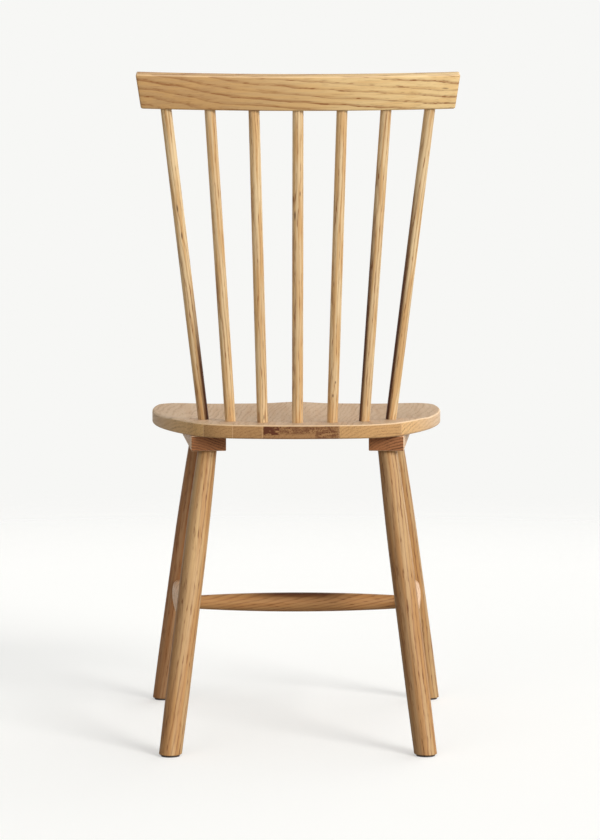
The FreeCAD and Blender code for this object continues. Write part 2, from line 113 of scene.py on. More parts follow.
LEG_RADIUS = 16.2
LEG_SHOULDER_RADIUS = 15.0
LEG_NECK_RADIUS = 13.4
LEG_FOOT_RADIUS = 15.7
LEG_FULL_TOP = 262.0
LEG_SHOULDER_HEIGHT = 346.0
LEG_NECK_HEIGHT = 403.5
LEG_TAPER_HEIGHT = 80.0
LEG_EDGE_ROUND = 1.5
LEG_TOPS = {"rear": (126.4, -96.0), "front": (143.0, 141.0)}
LEG_FEET = {"rear": (175.5, -231.0), "front": (201.5, 225.0)}
GLIDE_HEIGHT = 2.5

STRETCHER_HEIGHT = 180.0
STRETCHER_MIDDLE_RADIUS = 13.75
STRETCHER_END_RADIUS = 9.3
STRETCHER_TENON_RADIUS = 8.5
STRETCHER_CLEAR_OF_HOST = 1.0
CROSS_STRETCHER_Y = 0.0
SIDES = {"left": -1, "right": 1}

# %% [markdown]
# ## Wood that is cut from a trunk
# Oak shows its growth rings wherever a saw or a lathe opens it: long lines on a face,
# arcs on an end. A flat wood picture can't follow a turned leg, so the grain is worked
# out in three dimensions, as distance from the heart of an imaginary trunk. Each piece
# therefore gets a grain frame, whose Z axis lies along its grain, and every point of its
# mesh keeps its place in that frame as an attribute. One recipe reads that attribute and
# suits the rail, the spindles and the seat alike. Rotated objects would give the same
# coordinates, but upright ones keep their boxes true to size.

# %% A grain frame
def grain_frame(origin, along, across):
    """A frame at origin whose Z axis is along the grain and whose X axis is near across."""
    z_axis = Vector(along).normalized()
    y_axis = z_axis.cross(Vector(across)).normalized()
    x_axis = y_axis.cross(z_axis)
    turn = Matrix((x_axis, y_axis, z_axis)).transposed().to_4x4()
    return Matrix.Translation(Vector(origin)) @ turn


# %% A piece from points and faces
SHARP_ANGLE = math.radians(50.0)


def add_piece(name, node, grain, points, faces):
    """A smooth piece that stands for a CAD node. Points are in millimetres in the room."""
    mesh = bpy.data.meshes.new(name)
    mesh.from_pydata([point * MM for point in points], [], faces)
    to_grain = grain.inverted()
    places = mesh.attributes.new("grain_place", "FLOAT_VECTOR", "POINT")
    for value, point in zip(places.data, points):
        value.vector = to_grain @ point
    tidy = bmesh.new()
    tidy.from_mesh(mesh)
    bmesh.ops.recalc_face_normals(tidy, faces=tidy.faces)
    tidy.to_mesh(mesh)
    tidy.free()
    mesh.shade_smooth()
    mesh.set_sharp_from_angle(angle=SHARP_ANGLE)
    piece = bpy.data.objects.new(name, mesh)
    bpy.context.scene.collection.objects.link(piece)
    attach(piece, "root")
    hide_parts(node)
    return piece


def ring_faces(ring_count, sides):
    """Quads between neighbouring rings of points and one face over each end."""
    faces = [tuple(range(sides))]
    for ring in range(ring_count - 1):
        start, following = ring * sides, (ring + 1) * sides
        for side in range(sides):
            turn = (side + 1) % sides
            faces.append((start + side, start + turn, following + turn, following + side))
    last = (ring_count - 1) * sides
    faces.append(tuple(last + side for side in range(sides)))
    return faces


# %% [markdown]
# ## Turned pieces
# Spindles, legs and stretchers come off a lathe, so each is a profile spun round an
# axis. A Screw modifier would spin it too, but points worked out here let a leg end on
# a slanted cut, where it stands on the floor.

# %% Spin a profile round an axis
def spun(frame_along, profile, sides):
    """Points of the profile, pairs of distance and radius, spun round a frame's Z axis."""
    points = []
    for distance, radius in profile:
        for side in range(sides):
            angle = math.tau * side / sides
            local = Vector((radius * math.cos(angle), radius * math.sin(angle), distance))
            points.append(frame_along @ local)
    return points


def arc_radius(distance, start, end, end_radius, middle_radius):
    """The radius of a rail that swells along an arc from its ends to its middle."""
    half = (end - start) / 2.0
    rise = middle_radius - end_radius
    bow = (half ** 2 + rise ** 2) / (2.0 * rise)
    from_middle = distance - (start + end) / 2.0
    return middle_radius - bow + math.sqrt(bow ** 2 - from_middle ** 2)


def spaced(first, last, count):
    """Even steps from first to last, with both."""
    return [first + (last - first) * step / (count - 1) for step in range(count)]


def smooth_step(value):
    """0 below 0 and 1 above 1, with a soft step between them."""
    share = min(max(value, 0.0), 1.0)
    return share * share * (3.0 - 2.0 * share)


def eased_edge(radius, steps):
    """Pairs of inset and depth along a rounded edge, from the face round to the side."""
    turns = [math.radians(90.0 * step / (steps - 1)) for step in range(steps)]
    return [(radius * (1.0 - math.sin(turn)), radius * (1.0 - math.cos(turn))) for turn in turns]


# %% [markdown]
# ## Crest rail
# The rail is a band bent to a wide arc, leaned back with the spindles, with slanted ends
# and eased edges. A bevelled cube with a Bend modifier would stretch its slanted ends, so
# the rail is drawn as a rounded cross-section carried along the arc.

# %% Places on the crest rail
LEAN = math.radians(CREST_RECLINE)
CREST_UP = Vector((0.0, -math.sin(LEAN), math.cos(LEAN)))
CREST_BACK = Vector((0.0, -math.cos(LEAN), -math.sin(LEAN)))
CREST_START = Vector((0.0, CREST_Y, CREST_UNDERSIDE))
CREST_CORNER_STEPS = 5
CREST_STATIONS = 64


def crest_point(across, up, back):
    """A point of the bent band: across the chair, up the rail and back from its middle."""
    reach = math.sqrt((CREST_ARC_RADIUS + back) ** 2 - across ** 2) - CREST_ARC_RADIUS
    return CREST_START + Vector((across, 0.0, 0.0)) + CREST_UP * up + CREST_BACK * reach


def crest_half(up):
    """Half the rail's length at this height, with its slanted and slightly bulged end."""
    share = up / CREST_HEIGHT
    bulge = CREST_END_BULGE * 4.0 * share * (1.0 - share)
    return CREST_BOTTOM_HALF + (CREST_TOP_HALF - CREST_BOTTOM_HALF) * share + bulge


def rounded_section(inset):
    """The rail's cross-section as pairs of up and back, drawn in by inset."""
    corner = max(CREST_EDGE_ROUND - inset, 0.1)
    low, high = inset + corner, CREST_HEIGHT - inset - corner
    reach = CREST_THICKNESS / 2.0 - inset - corner
    centres = [(high, reach), (low, reach), (low, -reach), (high, -reach)]
    section = []
    for quarter, (up, back) in enumerate(centres):
        for step in range(CREST_CORNER_STEPS):
            angle = math.radians(90.0 * (quarter + step / (CREST_CORNER_STEPS - 1)))
            section.append((up + corner * math.cos(angle), back + corner * math.sin(angle)))
    return section


# %% Draw the crest rail
def crest_rings():
    """For each ring its inset, its share of the rail's half length and how far it stops short."""
    ends = eased_edge(CREST_EDGE_ROUND, CREST_CORNER_STEPS)
    rings = [(inset, -1.0, short) for inset, short in ends]
    rings += [(0.0, share, CREST_EDGE_ROUND) for share in spaced(-1.0, 1.0, CREST_STATIONS)[1:-1]]
    rings += [(inset, 1.0, short) for inset, short in reversed(ends)]
    return rings


crest_points = []
for inset, share, short in crest_rings():
    for up, back in rounded_section(inset):
        crest_points.append(crest_point(share * (crest_half(up) - short), up, back))
section_size = 4 * CREST_CORNER_STEPS
crest_faces = ring_faces(len(crest_points) // section_size, section_size)
crest_grain = grain_frame(CREST_START, (1, 0, 0), CREST_UP)
crest = add_piece("oak_crest_rail", "crest_rail", crest_grain, crest_points, crest_faces)
print("crest rail faces:", len(crest.data.polygons))

# %% [markdown]
# ## Spindles
# Seven straight dowels run from an arc in the seat to even places under the rail. Each is
# spun between the same two points as its solid, with the faint swell that a lathe and a
# sander leave, and sinks a little way into the wood at both ends.

# %% Spin the spindles
SPINDLE_SIDES = 32
SPINDLE_STATIONS = 25

spindles = {}
for number in range(1, SPINDLE_COUNT + 1):
    offset = number - (SPINDLE_COUNT + 1) / 2.0
    angle = math.radians(SPINDLE_ARC_STEP * offset)
    base = Vector((SPINDLE_ARC_RADIUS * math.sin(angle),
                   SPINDLE_ARC_CENTRE_Y - SPINDLE_ARC_RADIUS * math.cos(angle), SEAT_TOP))
    top = crest_point(SPINDLE_TOP_PITCH * offset, 0.0, 0.0)
    length = (top - base).length
    grain = grain_frame(base, top - base, (1, 0, 0))
    profile = []
    for distance in spaced(-SPINDLE_SINK, length + SPINDLE_SINK, SPINDLE_STATIONS):
        share = min(max(distance / length, 0.0), 1.0)
        swell = SPINDLE_SWELL * (math.sin(math.pi * share) - share)
        profile.append((distance, SPINDLE_RADIUS + swell))
    node = "spindle_" + str(number)
    points = spun(grain, profile, SPINDLE_SIDES)
    faces = ring_faces(SPINDLE_STATIONS, SPINDLE_SIDES)
    spindle = add_piece("oak_" + node, node, grain, points, faces)
    spindles[node] = (spindle, grain)
print("spindles:", len(spindles))

# %% [markdown]
# ## Legs
# A leg is a long cylinder that narrows at its foot and more strongly under the seat. Its
# foot is cut level with the floor although the leg leans, so the lowest rings slide along
# the axis until they lie in that cut.

# %% Spin the legs
LEG_SIDES = 48
LEG_EDGE_STEPS = 5
LEG_FIRST_RING = 12.0
LEG_LOWER_RINGS = 12
LEG_UPPER_RINGS = 14
LEG_SINK = 2.0


def leg_ends(row, side):
    foot = Vector((side * LEG_FEET[row][0], LEG_FEET[row][1], 0.0))
    top = Vector((side * LEG_TOPS[row][0], LEG_TOPS[row][1], BATTEN_BOTTOM))
    return foot, top


def leg_radius(height):
    """The leg's radius at a height above the floor."""
    if height < LEG_TAPER_HEIGHT:
        share = smooth_step(height / LEG_TAPER_HEIGHT)
        return LEG_FOOT_RADIUS + (LEG_RADIUS - LEG_FOOT_RADIUS) * share
    if height < LEG_FULL_TOP:
        return LEG_RADIUS
    middle = (LEG_SHOULDER_HEIGHT - LEG_FULL_TOP) / (LEG_NECK_HEIGHT - LEG_FULL_TOP)
    share = (height - LEG_FULL_TOP) / (LEG_NECK_HEIGHT - LEG_FULL_TOP)
    chord = LEG_RADIUS + (LEG_NECK_RADIUS - LEG_RADIUS) * share
    bulge = LEG_SHOULDER_RADIUS - LEG_RADIUS - (LEG_NECK_RADIUS - LEG_RADIUS) * middle
    bow = bulge * share * (1.0 - share) / (middle * (1.0 - middle))
    return max(chord + bow, LEG_NECK_RADIUS)


def level_ring(grain, radius, height):
    """A ring of the leg's surface where a level plane at this height cuts it."""
    axis = grain.to_3x3().col[2]
    ring = []
    for point in spun(grain, [(0.0, radius)], LEG_SIDES):
        ring.append(point + axis * ((height - point.z) / axis.z))
    return ring


ring_heights = spaced(LEG_FIRST_RING, LEG_FULL_TOP, LEG_LOWER_RINGS)
ring_heights += spaced(LEG_FULL_TOP, BATTEN_BOTTOM + LEG_SINK, LEG_UPPER_RINGS)[1:]
legs = {}
for row in LEG_FEET:
    for name, side in SIDES.items():
        foot, top = leg_ends(row, side)
        grain = grain_frame(foot, top - foot, (1, 0, 0))
        rise = (top - foot).normalized().z
        points = []
        for inset, lift in eased_edge(LEG_EDGE_ROUND, LEG_EDGE_STEPS):
            points += level_ring(grain, LEG_FOOT_RADIUS - inset, GLIDE_HEIGHT + lift)
        profile = [(height / rise, leg_radius(height)) for height in ring_heights]
        points += spun(grain, profile, LEG_SIDES)
        node = "leg_" + row + "_" + name
        faces = ring_faces(len(points) // LEG_SIDES, LEG_SIDES)
        legs[node] = (add_piece("oak_" + node, node, grain, points, faces), grain)
print("legs:", sorted(legs))

# %% [markdown]
# ## Stretchers
# The three stretchers swell to their middles like slim barrels. Their ends vanish into
# round sockets in the legs and in each other.

# %% Spin the stretchers
STRETCHER_SIDES = 40
STRETCHER_STATIONS = 33
STRETCHER_TENON_SHOWS = 0.5
STRETCHER_SINK = 4.0


def leg_axis_point(row, side, height):
    foot, top = leg_ends(row, side)
    return foot + (top - foot) * (height / top.z)


def add_stretcher(node, first, last, host_radius):
    grain = grain_frame(first, last - first, (0, 0, 1))
    span = (last - first).length
    bare = host_radius + STRETCHER_CLEAR_OF_HOST
    tenon = [host_radius - STRETCHER_SINK, bare - STRETCHER_TENON_SHOWS]
    profile = [(distance, STRETCHER_TENON_RADIUS) for distance in tenon]
    for distance in spaced(bare, span - bare, STRETCHER_STATIONS):
        radius = arc_radius(distance, bare, span - bare, STRETCHER_END_RADIUS, STRETCHER_MIDDLE_RADIUS)
        profile.append((distance, radius))
    profile += [(span - distance, STRETCHER_TENON_RADIUS) for distance in reversed(tenon)]
    points = spun(grain, profile, STRETCHER_SIDES)
    faces = ring_faces(len(profile), STRETCHER_SIDES)
    return add_piece("oak_" + node, node, grain, points, faces), grain


stretchers = {}
cross_ends = []
for name, side in SIDES.items():
    rear = leg_axis_point("rear", side, STRETCHER_HEIGHT)
    front = leg_axis_point("front", side, STRETCHER_HEIGHT)
    node = "side_stretcher_" + name
    stretchers[node] = add_stretcher(node, rear, front, LEG_RADIUS)
    cross_ends.append(rear + (front - rear) * ((CROSS_STRETCHER_Y - rear.y) / (front.y - rear.y)))
stretchers["cross_stretcher"] = add_stretcher("cross_stretcher", *cross_ends, STRETCHER_MIDDLE_RADIUS)
print("stretchers:", sorted(stretchers))

# %% [markdown]
# ## Seat
# The seat is a blank of glued staves, shaped to an outline of tangent arcs and hollowed
# for the sitter, with a crisp gutter in front of the spindles. A sculpted grid would blur
# that gutter, so the mesh is made of rings round a middle point, and one ring is drawn to
# lie exactly on the gutter.

# %% The seat's outline
OUTLINE_STEP = 4.0


def touching_centre(first, first_radius, second, second_radius, radius):
    """Centre of a circle of this radius inside two larger circles and touching both."""
    reach_first, reach_second = first_radius - radius, second_radius - radius
    between = second - first
    apart = between.length
    along = (reach_first ** 2 - reach_second ** 2 + apart ** 2) / (2.0 * apart)
    aside = math.sqrt(reach_first ** 2 - along ** 2)
    unit = between / apart
    across = Vector((-unit.y, unit.x))
    return max(first + unit * along + across * aside, first + unit * along - across * aside,
               key=lambda point: point.x)


def outline_right():
    """Points and outward directions along the right half, from the rear to the front."""
    rear = Vector((0.0, SEAT_REAR_Y + SEAT_REAR_RADIUS))
    side = Vector((SEAT_HALF_WIDTH - SEAT_SIDE_RADIUS, SEAT_WIDEST_Y))
    front = Vector((0.0, SEAT_FRONT_Y - SEAT_FRONT_RADIUS))
    rear_corner = touching_centre(rear, SEAT_REAR_RADIUS, side, SEAT_SIDE_RADIUS, SEAT_REAR_CORNER_RADIUS)
    front_corner = touching_centre(front, SEAT_FRONT_RADIUS, side, SEAT_SIDE_RADIUS,
                                   SEAT_FRONT_CORNER_RADIUS)
    arcs = [
        (rear, SEAT_REAR_RADIUS, Vector((0.0, -1.0)), rear_corner - rear),
        (rear_corner, SEAT_REAR_CORNER_RADIUS, rear_corner - rear, rear_corner - side),
        (side, SEAT_SIDE_RADIUS, rear_corner - side, front_corner - side),
        (front_corner, SEAT_FRONT_CORNER_RADIUS, front_corner - side, front_corner - front),
        (front, SEAT_FRONT_RADIUS, front_corner - front, Vector((0.0, 1.0))),
    ]
    line = []
    for centre, radius, start_way, end_way in arcs:
        start = math.atan2(start_way.y, start_way.x)
        end = math.atan2(end_way.y, end_way.x)
        count = max(3, round(radius * (end - start) / OUTLINE_STEP))
        for angle in spaced(start, end, count + 1)[:-1]:
            way = Vector((math.cos(angle), math.sin(angle)))
            line.append((centre + way * radius, way))
    return line


right_half = outline_right()
front_middle = (Vector((0.0, SEAT_FRONT_Y)), Vector((0.0, 1.0)))
left_half = [(Vector((-point.x, point.y)), Vector((-way.x, way.y))) for point, way in right_half[1:]]
outline = right_half + [front_middle] + left_half[::-1]
print("outline points:", len(outline))

# %% The hollow's surface
def gutter_y(x):
    """The crisp rear edge of the hollow, which climbs forward round the outer spindles."""
    outer_turn = math.radians(SPINDLE_ARC_STEP * (SPINDLE_COUNT - 1) / 2.0)
    outer_x = SPINDLE_ARC_RADIUS * math.sin(outer_turn)
    climb_height = SPINDLE_ARC_RADIUS * (1.0 - math.cos(outer_turn))
    climb_run = outer_x + GUTTER_AHEAD_OF_SPINDLES - GUTTER_STRAIGHT_HALF
    climb = climb_height * smooth_step((abs(x) - GUTTER_STRAIGHT_HALF) / climb_run)
    beyond = abs(x) - outer_x - GUTTER_BEND
    side = GUTTER_SIDE_SLOPE * 0.5 * (beyond + math.hypot(beyond, GUTTER_BEND))
    return SPINDLE_ARC_CENTRE_Y - SPINDLE_ARC_RADIUS + GUTTER_AHEAD_OF_SPINDLES + climb + side


def seat_height(x, y):
    """Height of the seat's top: flat behind the gutter and hollowed ahead of it."""
    ahead = math.tanh((y - gutter_y(x)) / HOLLOW_SLOPE_LENGTH)
    rise = smooth_step((y - HOLLOW_RISE_START_Y) / (SEAT_FRONT_Y - HOLLOW_RISE_START_Y))
    lengthways = 1.0 - (1.0 - HOLLOW_FRONT_SHARE) * rise
    side = smooth_step((abs(x) - HOLLOW_SIDE_START) / HOLLOW_SIDE_RUN)
    sideways = 1.0 - (1.0 - HOLLOW_SIDE_SHARE) * side
    ridge = RIDGE_HEIGHT_SHARE * smooth_step((y - RIDGE_START_Y) / RIDGE_RUN)
    ridge_share = 1.0 - ridge * math.exp(-((x / RIDGE_HALF_WIDTH) ** 2))
    return SEAT_TOP - HOLLOW_DEPTH * max(ahead, 0.0) * lengthways * sideways * ridge_share


# %% Rings from the middle of the seat to its rim
SEAT_MIDDLE = Vector((0.0, 60.0))
GUTTER_FARTHEST = 0.985
INNER_RINGS = 40
OUTER_RINGS = 10
GUTTER_CRISPNESS = 0.006
GUTTER_HALVINGS = 30
SEAT_EDGE_STEPS = 6


def gutter_share(rim):
    """How far out from the middle to the rim the gutter lies on this ray, found by halving."""
    def ahead(share):
        point = SEAT_MIDDLE.lerp(rim, share)
        return point.y - gutter_y(point.x)

    if ahead(1.0) > 0.0:
        return GUTTER_FARTHEST
    near, far = 0.0, 1.0
    for _ in range(GUTTER_HALVINGS):
        middle = (near + far) / 2.0
        if ahead(middle) > 0.0:
            near = middle
        else:
            far = middle
    return min(near, GUTTER_FARTHEST)


def ray_shares(gutter):
    """Shares of the way from the middle to the rim, with three close together at the gutter."""
    inner = [gutter * step / INNER_RINGS for step in range(1, INNER_RINGS)]
    crease = [gutter - GUTTER_CRISPNESS, gutter, gutter + GUTTER_CRISPNESS]
    outer = [gutter + (1.0 - gutter) * step / OUTER_RINGS for step in range(1, OUTER_RINGS + 1)]
    return inner + crease + [max(share, gutter + 2.0 * GUTTER_CRISPNESS) for share in outer[:-1]] + [1.0]


rays = []
for point, way in outline:
    rim = point - way * SEAT_EDGE_ROUND
    ray = [SEAT_MIDDLE.lerp(rim, share) for share in ray_shares(gutter_share(rim))]
    surface = [Vector((spot.x, spot.y, seat_height(spot.x, spot.y))) for spot in ray]
    brink = surface[-1].z
    for inset, drop in eased_edge(SEAT_EDGE_ROUND, SEAT_EDGE_STEPS)[1:]:
        out = point - way * inset
        surface.append(Vector((out.x, out.y, brink - drop)))
    for lift, inset in eased_edge(SEAT_EDGE_ROUND, SEAT_EDGE_STEPS):
        out = point - way * inset
        surface.append(Vector((out.x, out.y, SEAT_BOTTOM + lift)))
    rays.append(surface)
print("rings on the seat:", len(rays[0]))

# %% Join the rings
sides = len(rays)
seat_points = [ray[ring] for ring in range(len(rays[0])) for ray in rays]
seat_faces = ring_faces(len(rays[0]), sides)[1:]
seat_points.append(Vector((SEAT_MIDDLE.x, SEAT_MIDDLE.y, seat_height(*SEAT_MIDDLE))))
middle_point = len(seat_points) - 1
seat_faces += [(middle_point, (side + 1) % sides, side) for side in range(sides)]
seat_grain = grain_frame((0.0, 0.0, SEAT_BOTTOM), (0, 1, 0), (1, 0, 0))
seat = add_piece("oak_seat", "seat", seat_grain, seat_points, seat_faces)
ahead = seat.data.attributes.new("ahead_of_gutter", "FLOAT", "POINT")
for value, point in zip(ahead.data, seat_points):
    value.value = point.y - gutter_y(point.x)
print("seat faces:", len(seat.data.polygons))

# %% [markdown]
# ## Battens
# A cleat runs under each side of the seat and holds two legs. It is a plain sawn board
# with eased edges: a bevel on a box gives just that.

# %% Bevel the battens
battens = {}
for name, side in SIDES.items():
    rear = Vector((side * BATTEN_REAR.x, BATTEN_REAR.y, (BATTEN_BOTTOM + SEAT_BOTTOM) / 2.0))
    front = Vector((side * BATTEN_FRONT.x, BATTEN_FRONT.y, rear.z))
    length = (front - rear).length
    grain = grain_frame(rear, front - rear, (1, 0, 0))
    board = bmesh.new()
    bmesh.ops.create_cube(board, size=1.0)
    bmesh.ops.scale(board, verts=board.verts, vec=(BATTEN_WIDTH, SEAT_BOTTOM - BATTEN_BOTTOM, length))
    bmesh.ops.translate(board, verts=board.verts, vec=(0.0, 0.0, length / 2.0))
    bmesh.ops.bevel(board, geom=board.edges, offset=BATTEN_EDGE_ROUND, segments=4, profile=0.5,
                    affect="EDGES")
    board.verts.index_update()
    points = [grain @ vertex.co for vertex in board.verts]
    faces = [tuple(vertex.index for vertex in face.verts) for face in board.faces]
    board.free()
    node = "batten_" + name
    battens[node] = (add_piece("oak_" + node, node, grain, points, faces), grain)
print("battens:", sorted(battens))

# %% [markdown]
# ## Sums on sockets
# A material is a web of nodes, and its sums are easier to read as sums. One small class
# wraps a socket, so that an expression on wrapped sockets adds the Math nodes. A second
# class holds the web itself, and one method of it adds any other kind of node.

# %% Wrap a socket
class Value:
    """A number that varies over a surface: a socket that understands + - * and /."""

    def __init__(self, recipe, socket):
        self.recipe = recipe
        self.socket = socket

    def sum_node(self, operation, *values):
        return self.recipe.node("ShaderNodeMath", {"operation": operation}, values)

    def __add__(self, other):
        return self.sum_node("ADD", self, other)

    def __sub__(self, other):
        return self.sum_node("SUBTRACT", self, other)

    def __rsub__(self, other):
        return self.sum_node("SUBTRACT", other, self)

    def __mul__(self, other):
        return self.sum_node("MULTIPLY", self, other)

    def __truediv__(self, other):
        return self.sum_node("DIVIDE", self, other)

    def whole(self):
        return self.sum_node("FLOOR", self)

    def part(self):
        return self.sum_node("FRACT", self)

    def size(self):
        return self.sum_node("ABSOLUTE", self)

    def root(self):
        return self.sum_node("SQRT", self)

    def lower(self, other):
        return self.sum_node("MINIMUM", self, other)

    def higher(self, other):
        return self.sum_node("MAXIMUM", self, other)

    def between(self, low, high):
        """0 below low and 1 above high, with a soft step between them."""
        settings = {"interpolation_type": "SMOOTHSTEP"}
        return self.recipe.node("ShaderNodeMapRange", settings,
                                {"Value": self, "From Min": low, "From Max": high})

    def close_to(self, place, full, gone):
        """1 up to full away from a place and 0 from gone away, with a soft step between them."""
        return 1.0 - (self - place).size().between(full, gone)

    __radd__ = __add__
    __rmul__ = __mul__


# %% A web of nodes as a recipe
class Recipe:
    """The nodes of a material, or of the world, under construction."""

    def __init__(self, owner):
        owner.use_nodes = True
        self.owner = owner
        self.tree = owner.node_tree
        self.shader = self.tree.nodes.get("Principled BSDF")

    def node(self, kind, settings, values, output=0):
        """Adds a node, sets it up, fills its sockets with values or links, and gives one output."""
        node = self.tree.nodes.new(kind)
        for key, setting in settings.items():
            if key == "stops":
                fill_ramp(node.color_ramp, setting)
            else:
                setattr(node, key, setting)
        pairs = values.items() if isinstance(values, dict) else enumerate(values)
        for key, value in pairs:
            self.fill(node.inputs[key], value)
        return Value(self, node.outputs[output])

    def fill(self, socket, value):
        if isinstance(value, Value):
            self.tree.links.new(value.socket, socket)
        else:
            socket.default_value = value

    def finish(self, **inputs):
        """Fills the shader's sockets by name, with an underscore for each space."""
        for name, value in inputs.items():
            self.fill(self.shader.inputs[name.replace("_", " ")], value)
        return self.owner

    def mixed(self, share, first, second):
        """A colour between two colours."""
        colours = {0: share, 6: first, 7: second}
        return self.node("ShaderNodeMix", {"data_type": "RGBA"}, colours, output=2)

    def chosen(self, share, first, second):
        """A shader between two shaders."""
        return self.node("ShaderNodeMixShader", {}, {0: share, 1: first, 2: second})

    def noise(self, point, stretch, detail=2.0, roughness=0.5, output="Fac"):
        """Noise whose grains have the given size along X, Y and Z, in the point's own units."""
        grains = self.vector("MULTIPLY", point, [1.0 / size for size in stretch])
        values = {"Vector": grains, "Scale": 1.0, "Detail": detail, "Roughness": roughness}
        return self.node("ShaderNodeTexNoise", {}, values, output=output)

    def vector(self, operation, *values, output="Vector"):
        return self.node("ShaderNodeVectorMath", {"operation": operation}, values, output=output)

    def axes(self, vector):
        return [self.node("ShaderNodeSeparateXYZ", {}, [vector], output=axis) for axis in range(3)]


def fill_ramp(ramp, stops):
    """Colour stops as pairs of place and grey, held level until the next stop."""
    ramp.interpolation = "CONSTANT"
    while len(ramp.elements) < len(stops):
        ramp.elements.new(1.0)
    for element, (place, grey) in zip(ramp.elements, stops):
        element.position = place
        element.color = (grey, grey, grey, 1.0)


# %% [markdown]
# ## The oak recipe
# Oak is a ring-porous wood. Each year starts with a band of wide pores, which shows as a
# brown line, and ends in smooth pale wood. Short dark dashes are pores cut lengthways,
# fine streaks are fibres, and an end is darker because it drinks in oil. All of it hangs
# on the distance from the heart of the trunk, warped a little, since no tree is straight.
# Making and use leave traces on top: glue lines and stains on an end, and pale rubbed upper
# edges, which are a painted highlight too. Painted shade is laid on as well: on chosen sides
# and spots, along the crisp edge where the seat's hollow starts, and towards one end of a piece.

# %% Colours as the eye names them
def colour(red, green, blue):
    """A screen colour from 0 to 255 as the linear colour that a shader wants."""
    def linear(level):
        level /= 255.0
        return level / 12.92 if level <= 0.04045 else ((level + 0.055) / 1.055) ** 2.4

    return (linear(red), linear(green), linear(blue), 1.0)


# %% Marks, painted light and sizes that all the oak shares
GLUE_PALE = colour(226, 188, 146)
STAIN_BROWN = colour(86, 46, 26)
# Painted shade: the colour of a side or spot of a piece that lies in shade.
PAINTED_SHADE_BROWN = colour(76, 42, 24)
# Wear and painted highlight: the pale colour of upper eased edges.
WEAR_AND_HIGHLIGHT_PALE = colour(236, 208, 168)
# Knots and checks, and the painted shade along the edge of the seat's hollow.
KNOT_AND_SHADE_BROWN = colour(78, 46, 28)

# Across the grain twice, then along it.
WARP_SIZE = (70.0, 70.0, 260.0)
SMALL_WARP_SIZE = (14.0, 14.0, 48.0)
PATCH_SIZE = (32.0, 32.0, 110.0)
CLOUD_SIZE = (90.0, 90.0, 300.0)
FIBRE_SIZE = (2.4, 2.4, 60.0)
PORE_SIZE = (1.3, 1.3, 17.0)
SEED_STEP = Vector((37.0, 53.0, 711.0))


# %% Staves and glue lines
STAVE_REACH = 300.0


def staves(recipe, x, plan):
    """For a glued blank, each stave's own heart and tone, and a mask of its glue lines.

    The plan lists for each stave its left edge, where its heart lies and how deep its tone is.
    A number times 0.0 is a mask that is 0 everywhere, for a piece without staves or a loop.
    """
    if not plan:
        return 0.0, x * 0.0, x * 0.0
    low, high = -SEAT_HALF_WIDTH, SEAT_HALF_WIDTH
    share = (x - low) / (high - low)
    places = [max((edge - low) / (high - low), 0.0) for edge, heart, tone in plan]
    hearts = [(heart + STAVE_REACH) / (2.0 * STAVE_REACH) for edge, heart, tone in plan]
    heart_stops = {"stops": list(zip(places, hearts))}
    tone_stops = {"stops": list(zip(places, [tone for edge, heart, tone in plan]))}
    heart_place = recipe.axes(recipe.node("ShaderNodeValToRGB", heart_stops, [share]))[0]
    tone_place = recipe.axes(recipe.node("ShaderNodeValToRGB", tone_stops, [share]))[0]
    glue = x * 0.0
    for edge, heart, tone in plan[1:]:
        glue = glue.higher(x.close_to(edge, 0.2, 0.7))
    return heart_place * (2.0 * STAVE_REACH) - STAVE_REACH, tone_place, glue


# %% Knots, checks, painted shade and stains
SPOT_WOBBLE = Vector((3.0, 3.0, 10.0))
PAINTED_SHADE_FULL_SHARE = 0.25
STAIN_SIZE = (9.0, 4.0, 60.0)
STAIN_FULL_Z = -100.0
STAIN_GONE_Z = -40.0


def spotted(recipe, point, small_warp, spots):
    """How far knots push the rings aside, and a mask of the knots and small checks.

    A spot is its place in the grain frame, its size and how many times longer it is than wide.
    """
    x, _, _ = recipe.axes(point)
    wobbly = recipe.vector("MULTIPLY_ADD", small_warp, SPOT_WOBBLE, point)
    pull, mask = x * 0.0, x * 0.0
    for spot_x, spot_y, spot_z, size, stretch in spots:
        offset = recipe.vector("SUBTRACT", wobbly, Vector((spot_x, spot_y, spot_z)) + SPOT_WOBBLE / 2.0)
        near = recipe.vector("MULTIPLY", offset, (1.0, 1.0, 1.0 / stretch))
        distance = recipe.vector("LENGTH", near, output="Value")
        pull = pull + (1.0 - distance.between(0.0, size * 4.0)) * size * 1.5
        mask = mask.higher((1.0 - distance.between(size * 0.2, size)) * 0.8)
    return pull, mask


def heart_share(recipe, x, z, painted_shade, fibres):
    """How much painted shade shows on a side or spot of the piece, where it lies in shade.

    Each row is where it is faint and where full across the piece, its middle along the grain, how
    far it reaches from there and how dark it is.
    """
    share = x * 0.0
    for faint_x, full_x, middle_z, reach, strength in painted_shade:
        side = x.between(faint_x, full_x) if full_x > faint_x else 1.0 - x.between(full_x, faint_x)
        stretch = z.close_to(middle_z, PAINTED_SHADE_FULL_SHARE * reach, reach)
        share = share.higher(side * stretch * strength * (fibres * 0.8 + 0.6))
    return share.lower(1.0)


def stain_share(recipe, moved, point, pores, stains):
    """How much dark stain the rear end shows: boxes across and down the board.

    Each box is its left, right, top and bottom, how dark it is and how much its pores are.
    """
    x, y, z = recipe.axes(point)
    share = x * 0.0
    cloudy = recipe.noise(moved, STAIN_SIZE, detail=3.0).between(0.3, 0.6)
    for left, right, top, bottom, strength, dots in stains:
        inside = x.between(left - 1.0, left + 2.0) * (1.0 - x.between(right - 2.0, right + 2.0))
        inside = inside * y.between(top - 1.5, top + 2.0) * (1.0 - y.between(bottom - 2.0, bottom + 1.5))
        share = share.higher(inside * (cloudy * strength + pores * dots))
    return (share * (1.0 - z.between(STAIN_FULL_Z, STAIN_GONE_Z))).lower(1.0)


